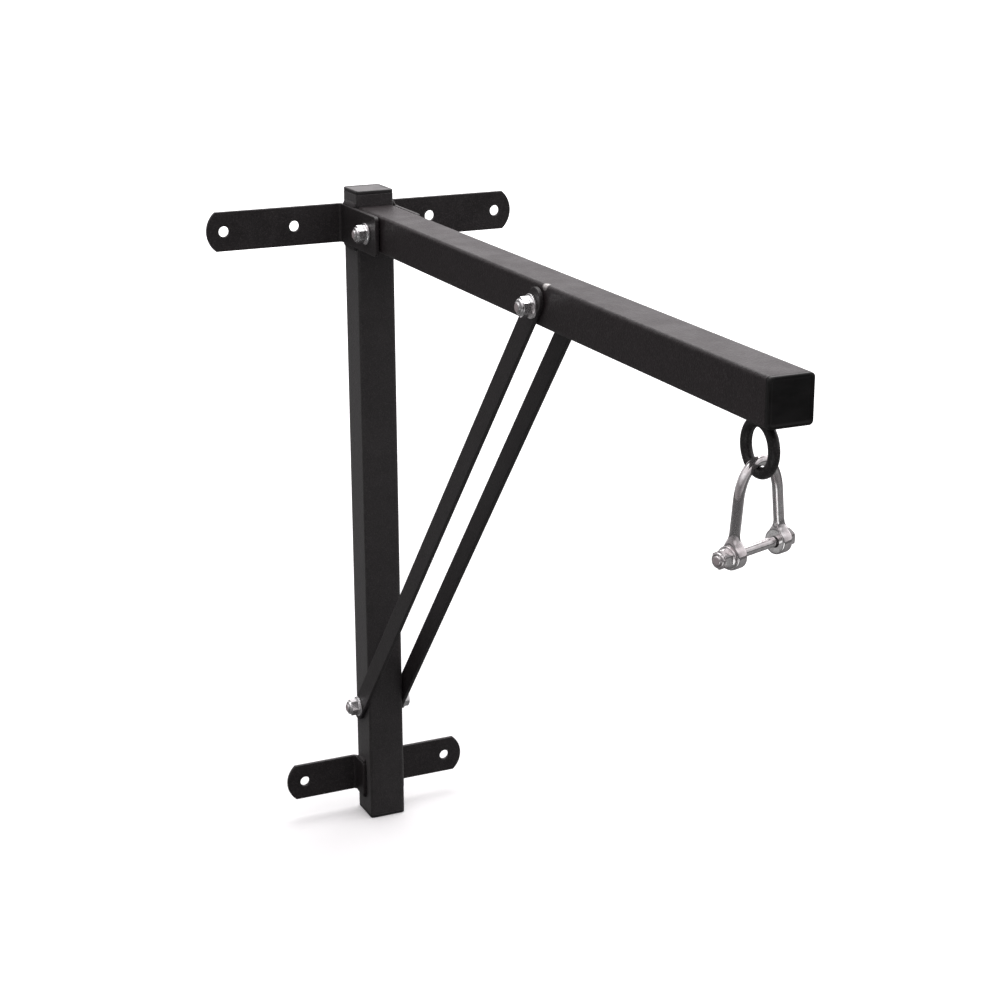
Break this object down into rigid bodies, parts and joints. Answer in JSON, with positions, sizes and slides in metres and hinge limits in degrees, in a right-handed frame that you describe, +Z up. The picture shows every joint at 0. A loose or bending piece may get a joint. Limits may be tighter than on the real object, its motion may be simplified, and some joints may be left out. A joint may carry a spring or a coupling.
{
  "type": "heavy bag wall bracket",
  "caption": "Wall-mounted steel bracket for a heavy punch bag: square post, braced square arm, welded ring and long shackle.",
  "frame": {"origin": "on the wall plane, on the post's back face, at the height of the upper wall plates' centre line", "axes": "+X along the wall to the right seen from the room, +Y into the wall, +Z up; the arm reaches out along -Y"},
  "size_m": [0.336, 0.8269, 0.6998],
  "materials": {
    "black_paint": "satin black powder coat with a fine texture",
    "black_plastic": "moulded black plastic, slightly satin",
    "zinc": "bright zinc plating, slightly dulled",
    "chrome": "bright plating with soft wear"
  },
  "bodies": {
    "bracket": {"arm_end_cap": "black_plastic", "arm_tube": "black_paint", "foot_bolt": "zinc", "foot_nut": "zinc", "foot_washer_left": "zinc", "foot_washer_right": "zinc", "hang_ring": "black_paint", "lower_plate_left": "black_paint", "lower_plate_right": "black_paint", "lower_weld_left_bottom": "black_paint", "lower_weld_left_top": "black_paint", "lower_weld_right_bottom": "black_paint", "lower_weld_right_top": "black_paint", "post_bottom_cap": "black_plastic", "post_top_cap": "black_plastic", "post_tube": "black_paint", "rear_bolt": "zinc", "rear_nut": "zinc", "rear_washer_left": "zinc", "rear_washer_right": "zinc", "ring_weld_left": "black_paint", "ring_weld_right": "black_paint", "strut_bolt": "zinc", "strut_left": "black_paint", "strut_nut": "zinc", "strut_right": "black_paint", "strut_washer_left": "zinc", "strut_washer_right": "zinc", "upper_plate_left": "black_paint", "upper_plate_right": "black_paint", "upper_weld_left_bottom": "black_paint", "upper_weld_left_top": "black_paint", "upper_weld_right_bottom": "black_paint", "upper_weld_right_top": "black_paint"},
    "shackle": {"shackle_bow": "chrome"},
    "shackle_pin": {"pin_bolt": "zinc", "pin_nut": "zinc", "pin_washer_left": "zinc", "pin_washer_right": "zinc"}
  },
  "joints": [
    {"name": "shackle_swing", "type": "hinge", "parent": "bracket", "child": "shackle", "pos_m": [0, -0.788, -0.0408], "axis": [1, 0, 0], "range_deg": [-90, 90]},
    {"name": "pin_turn", "type": "hinge", "parent": "shackle", "child": "shackle_pin", "pos_m": [0, -0.788, -0.117], "axis": [0.9455, 0.3256, 0], "continuous": true}
  ]
}
